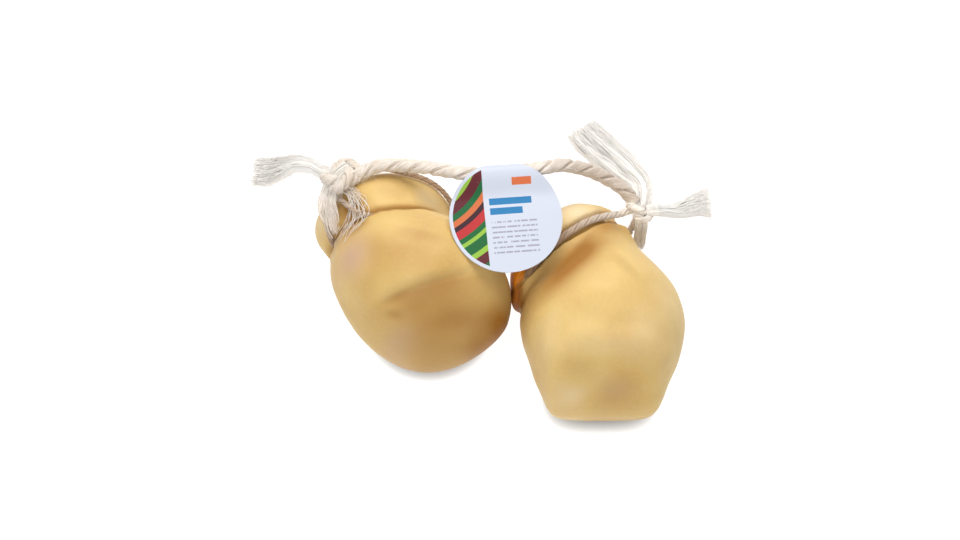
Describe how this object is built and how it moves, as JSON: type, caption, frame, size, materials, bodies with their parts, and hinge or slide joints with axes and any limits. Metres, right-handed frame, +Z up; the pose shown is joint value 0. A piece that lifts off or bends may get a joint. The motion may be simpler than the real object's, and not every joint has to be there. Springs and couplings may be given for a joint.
{
  "type": "pair of tied scamorza cheeses",
  "caption": "Pear-shaped stretched-curd cheeses lying side by side, tied neck to neck with a knotted cotton cord whose ends are frayed, and a round paper tag folded over the cord.",
  "frame": {"origin": "on the surface that the pair lies on, under the middle of the box round the two cheeses and the yarn on their necks", "axes": "+Z up; +X from the left cheese to the right one, along the pair; +Y from the bases towards the necks and the cord"},
  "size_m": [0.2244, 0.1579, 0.0747],
  "materials": {
    "cheese_skin": "matte, slightly waxy dried cheese skin",
    "cotton_cord": "unbleached cotton, two yarns twisted together, ends frayed",
    "tag_paper": "coated white paper with printed fields of colour"
  },
  "bodies": {
    "root": {"cheese_left": "cheese_skin", "cheese_right": "cheese_skin", "neck_tie_left": "cotton_cord", "neck_strand_left": "cotton_cord", "neck_tie_right": "cotton_cord", "knot_left": "cotton_cord", "knot_right": "cotton_cord", "cord_span": "cotton_cord", "tail_left_out": "cotton_cord", "tail_left_front": "cotton_cord", "tail_right_up": "cotton_cord", "tail_right_out": "cotton_cord", "tail_right_down": "cotton_cord", "tag": "tag_paper"}
  },
  "joints": []
}
